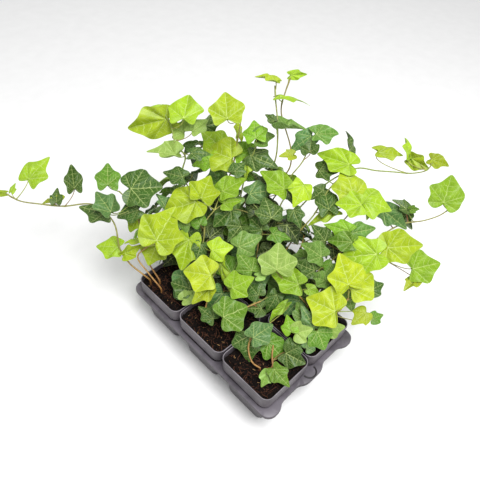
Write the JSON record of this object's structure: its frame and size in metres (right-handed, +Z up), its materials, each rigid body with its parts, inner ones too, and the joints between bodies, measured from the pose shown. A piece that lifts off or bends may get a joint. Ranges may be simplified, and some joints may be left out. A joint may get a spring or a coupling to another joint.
{
  "type": "potted irish ivy",
  "caption": "Square nursery pots of trailing ivy in a thin formed carry tray, with lobed pale-veined leaves on long leaning stems over dark soil",
  "frame": {"origin": "middle of the tray's underside, on the ground it stands on", "axes": "+Z up, +X across the tray's short side, +Y along its long side; the vines lean towards +X and +Y"},
  "size_m": [0.5798, 0.5462, 0.3523],
  "materials": {
    "tray_sheet": "satin",
    "pot_plastic": "satin",
    "potting_soil": "matte",
    "ivy_leaf": "satin"
  },
  "bodies": {
    "root": {"carry_tray": "tray_sheet", "pot_left_front": "pot_plastic", "pot_left_middle": "pot_plastic", "pot_left_back": "pot_plastic", "pot_right_front": "pot_plastic", "pot_right_middle": "pot_plastic", "pot_right_back": "pot_plastic", "soil_left_front": "potting_soil", "soil_left_middle": "potting_soil", "soil_left_back": "potting_soil", "soil_right_front": "potting_soil", "soil_right_middle": "potting_soil", "soil_right_back": "potting_soil", "vine_01": "ivy_leaf", "vine_02": "ivy_leaf", "vine_03": "ivy_leaf", "vine_04": "ivy_leaf", "vine_05": "ivy_leaf", "vine_06": "ivy_leaf", "vine_07": "ivy_leaf", "vine_08": "ivy_leaf", "vine_09": "ivy_leaf", "vine_10": "ivy_leaf", "vine_11": "ivy_leaf", "vine_12": "ivy_leaf", "vine_13": "ivy_leaf", "vine_14": "ivy_leaf", "vine_15": "ivy_leaf", "vine_16": "ivy_leaf", "vine_17": "ivy_leaf", "vine_18": "ivy_leaf", "vine_19": "ivy_leaf", "vine_20": "ivy_leaf", "vine_21": "ivy_leaf", "vine_22": "ivy_leaf", "vine_23": "ivy_leaf", "vine_24": "ivy_leaf", "vine_25": "ivy_leaf", "vine_26": "ivy_leaf", "vine_27": "ivy_leaf", "vine_28": "ivy_leaf", "vine_29": "ivy_leaf", "vine_30": "ivy_leaf", "vine_31": "ivy_leaf", "vine_32": "ivy_leaf", "vine_33": "ivy_leaf", "vine_34": "ivy_leaf", "vine_35": "ivy_leaf"}
  },
  "joints": []
}
